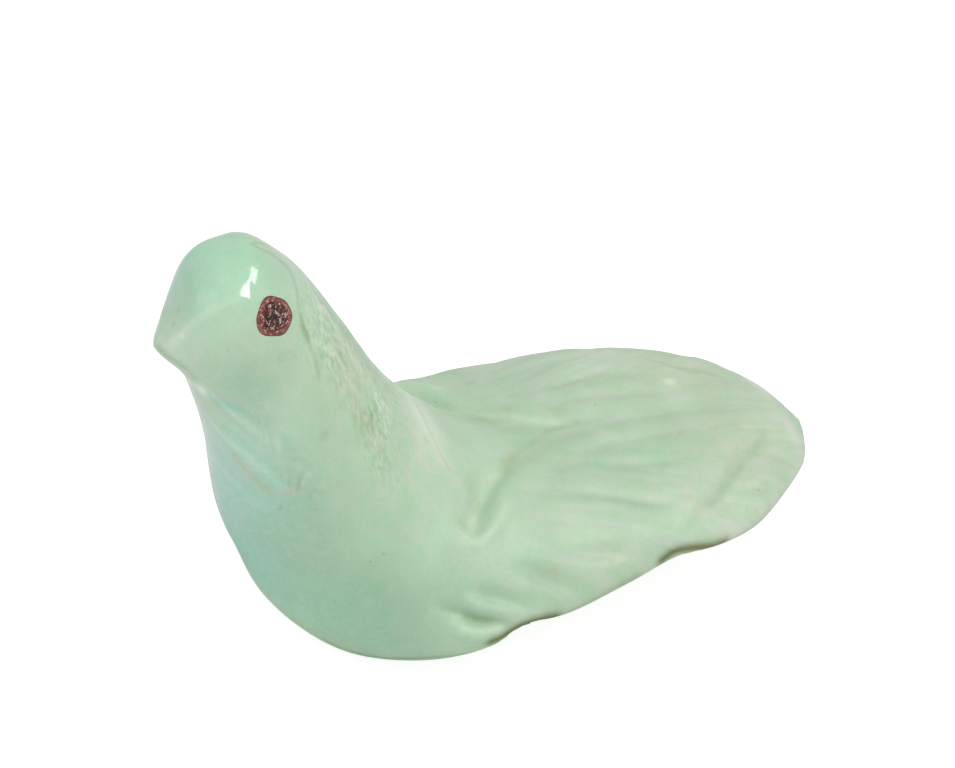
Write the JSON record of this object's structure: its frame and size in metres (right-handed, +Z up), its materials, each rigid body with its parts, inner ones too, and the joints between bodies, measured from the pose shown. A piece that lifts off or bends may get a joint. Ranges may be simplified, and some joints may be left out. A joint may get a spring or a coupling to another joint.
{
  "type": "bird fetish carving",
  "caption": "Small stone carving of a sitting bird with raised head, folded grooved wings, a flat base and round inlaid eyes.",
  "frame": {"origin": "middle of the bounding box in X and Y, at the height of the flat base", "axes": "-Y towards the beak, +X towards the bird's left wing, +Z up from the base to the crown"},
  "size_m": [0.0292, 0.052, 0.0353],
  "materials": {
    "stone": "pale green, hand polished",
    "eye_inlay": "dark speckled red-brown, polished"
  },
  "bodies": {
    "root": {"bird_body": "stone", "eye_left": "eye_inlay", "eye_right": "eye_inlay"}
  },
  "joints": []
}
